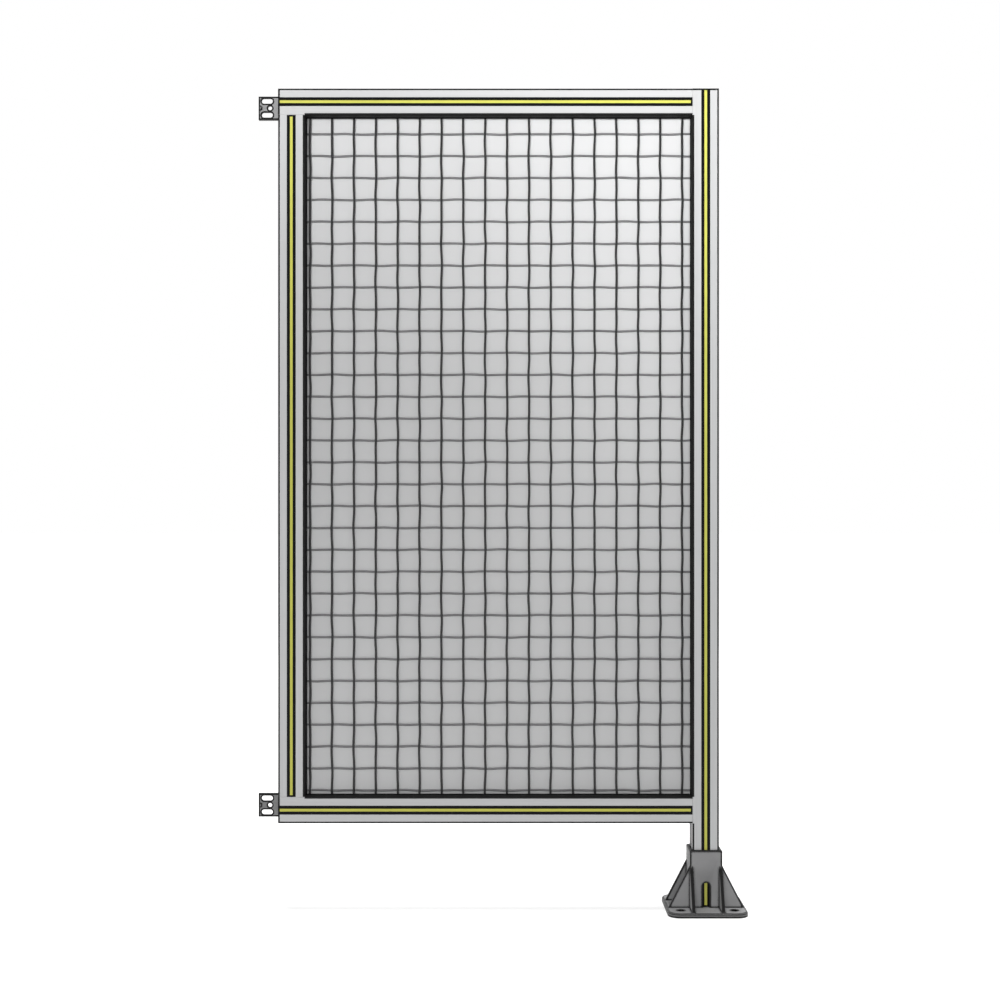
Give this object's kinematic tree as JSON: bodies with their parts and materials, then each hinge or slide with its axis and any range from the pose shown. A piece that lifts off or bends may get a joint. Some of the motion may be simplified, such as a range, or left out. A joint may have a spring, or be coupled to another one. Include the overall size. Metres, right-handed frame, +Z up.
{
  "type": "machine guard fence panel",
  "caption": "Framed wire mesh machine guard panel with slot profile frame, yellow cover strips, one post on a cast floor foot and hanging brackets.",
  "frame": {"origin": "centre of the foot's underside, on the floor below the post's axis", "axes": "+Z up along the post, -Y towards the front with the yellow strips and the wires, -X from the post along the panel"},
  "size_m": [0.835, 0.135, 1.4],
  "materials": {
    "profile": "natural anodised, fine matt extrusion surface",
    "strip": "light yellow moulded face with black side lips",
    "mesh_wire": "dark grey powder-coated wire",
    "sheet": "light grey satin sheet",
    "edging": "black matt edging",
    "foot": "grey powder-coated casting",
    "bracket": "zinc die-casting, bare grey"
  },
  "bodies": {
    "root": {"post": "profile", "top_rail": "profile", "bottom_rail": "profile", "free_stile": "profile", "post_foot": "foot", "post_strip_front": "strip", "post_strip_rear": "strip", "top_rail_strip_front": "strip", "top_rail_strip_rear": "strip", "bottom_rail_strip_front": "strip", "bottom_rail_strip_rear": "strip", "stile_strip_front": "strip", "stile_strip_rear": "strip", "mesh_left": "mesh_wire", "mesh_middle": "mesh_wire", "mesh_right": "mesh_wire", "backing_sheet": "sheet", "edging_left": "edging", "edging_right": "edging", "edging_top": "edging", "edging_bottom": "edging", "upper_bracket": "bracket", "lower_bracket": "bracket"}
  },
  "joints": []
}
